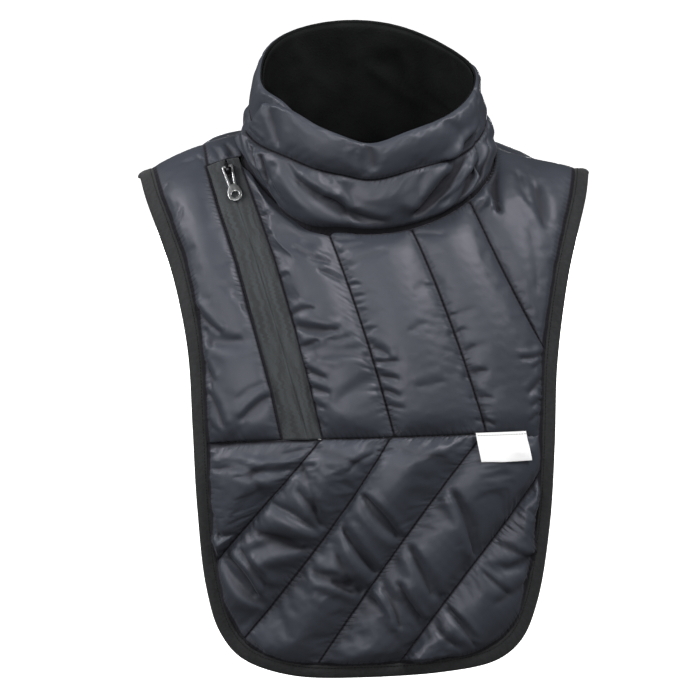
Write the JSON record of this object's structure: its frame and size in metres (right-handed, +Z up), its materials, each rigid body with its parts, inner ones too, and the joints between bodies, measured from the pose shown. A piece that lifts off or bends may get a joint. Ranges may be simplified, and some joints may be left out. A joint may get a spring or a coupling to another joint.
{
  "type": "neck warmer",
  "caption": "Quilted neck warmer: a padded stand collar on a bound bib that covers the chest, the shoulders and the upper back, with a slanting zip at the side of the chest.",
  "frame": {"origin": "middle of the wearer's neck at the level where the collar starts, the place it is held up by", "axes": "+Z up along the neck, -Y the way the wearer faces, +X the wearer's left side, which is on the right as seen from the front"},
  "size_m": [0.3693, 0.2517, 0.5027],
  "materials": {
    "shell": "dark navy-grey quilted nylon with a soft satin sheen",
    "fleece": "black fleece",
    "binding": "dark grey matt stretch binding",
    "zip_tape": "greenish grey matt woven tape",
    "zip_chain": "black coil",
    "zip_slider": "dark enamel",
    "zip_pull": "bright polished metal",
    "reflective_tab": "white tab with a faint sheen, left blank"
  },
  "bodies": {
    "garment": {"side_panel": "shell", "chest_panel": "shell", "lower_panel": "shell", "back_panel": "shell", "collar_front": "shell", "collar_back": "shell", "collar_lining": "fleece", "edge_binding_front": "binding", "edge_binding_back": "binding", "zip_tape_left": "zip_tape", "zip_tape_right": "zip_tape", "zip_chain": "zip_chain", "zip_slider": "zip_slider", "reflective_tab": "reflective_tab"},
    "zip_pull": {"zip_pull": "zip_pull"}
  },
  "joints": [
    {"name": "zip_pull_hinge", "type": "hinge", "parent": "garment", "child": "zip_pull", "pos_m": [-0.11241, -0.03177, 0.00621], "axis": [-0.9499, -0.035, -0.3107], "range_deg": [0, 150]}
  ]
}
